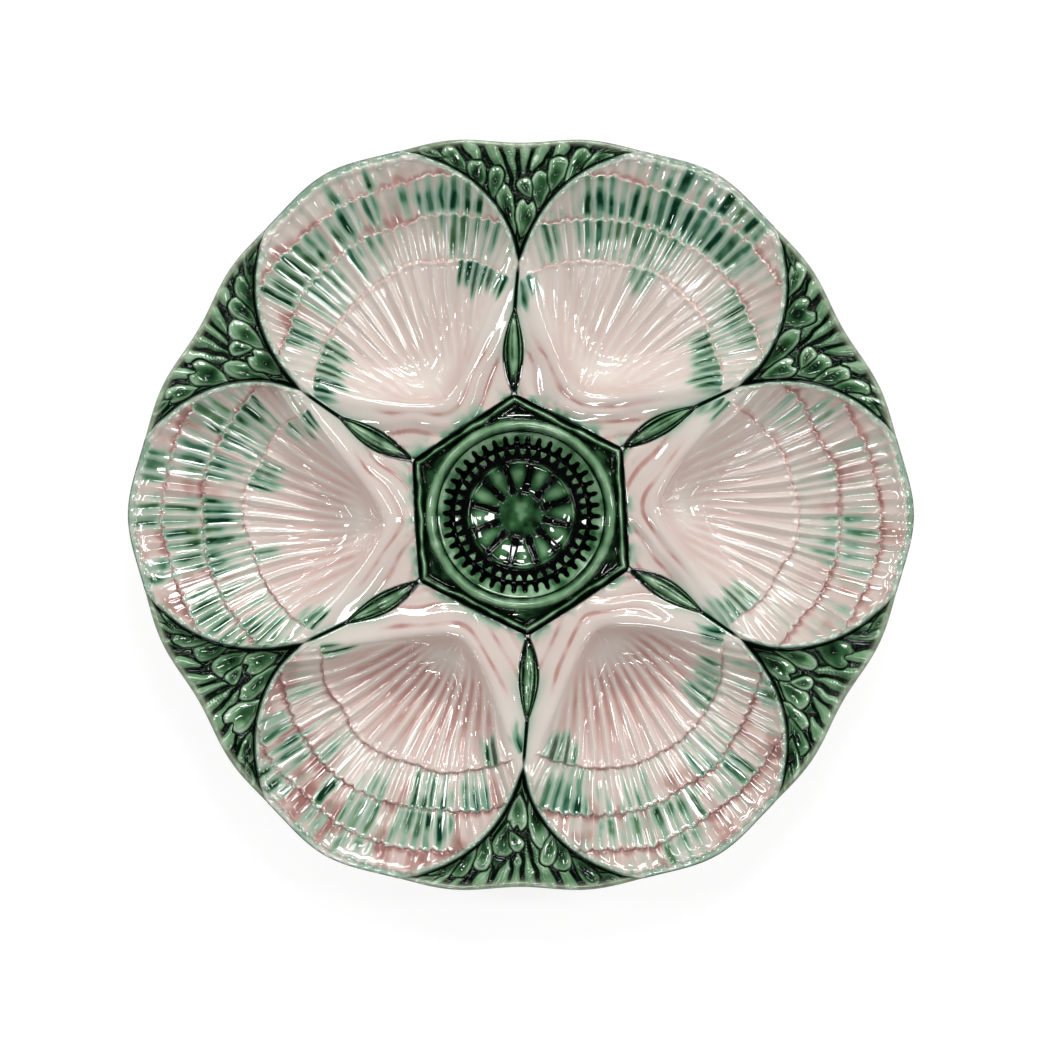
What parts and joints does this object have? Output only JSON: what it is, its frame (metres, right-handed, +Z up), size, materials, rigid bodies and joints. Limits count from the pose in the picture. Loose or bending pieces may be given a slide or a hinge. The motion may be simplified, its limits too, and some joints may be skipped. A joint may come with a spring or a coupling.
{
  "type": "oyster plate",
  "caption": "Round glazed earthenware oyster plate with scallop shell wells round a central sauce well, seaweed relief at the rim.",
  "frame": {"origin": "centre of the foot ring on the plane it stands on, under the middle of the plate", "axes": "+Z up out of the sauce well, +X through the middle of the first shell well"},
  "size_m": [0.25, 0.2386, 0.0259],
  "materials": {
    "shell_glaze": "glossy translucent cream glaze, pink in the creases, with green streaks",
    "leaf_green_glaze": "glossy translucent green glaze, pale on the crests and near black in the hollows",
    "deep_green_glaze": "glossy deep green glaze, pooled dark in the hollows"
  },
  "bodies": {
    "root": {"foot_ring": "shell_glaze", "sauce_well": "deep_green_glaze", "sauce_well_rim": "leaf_green_glaze", "tooth_ring": "leaf_green_glaze", "bead_ring": "leaf_green_glaze", "rosette": "deep_green_glaze", "hex_collar": "leaf_green_glaze", "shell_well_1": "shell_glaze", "shell_well_2": "shell_glaze", "shell_well_3": "shell_glaze", "shell_well_4": "shell_glaze", "shell_well_5": "shell_glaze", "shell_well_6": "shell_glaze", "bud_divider_1": "leaf_green_glaze", "bud_divider_2": "leaf_green_glaze", "bud_divider_3": "leaf_green_glaze", "bud_divider_4": "leaf_green_glaze", "bud_divider_5": "leaf_green_glaze", "bud_divider_6": "leaf_green_glaze", "rim_panel_1": "deep_green_glaze", "rim_panel_2": "deep_green_glaze", "rim_panel_3": "deep_green_glaze", "rim_panel_4": "deep_green_glaze", "rim_panel_5": "deep_green_glaze", "rim_panel_6": "deep_green_glaze", "seaweed_sprig_1": "leaf_green_glaze", "seaweed_sprig_2": "leaf_green_glaze", "seaweed_sprig_3": "leaf_green_glaze", "seaweed_sprig_4": "leaf_green_glaze", "seaweed_sprig_5": "leaf_green_glaze", "seaweed_sprig_6": "leaf_green_glaze"}
  },
  "joints": []
}
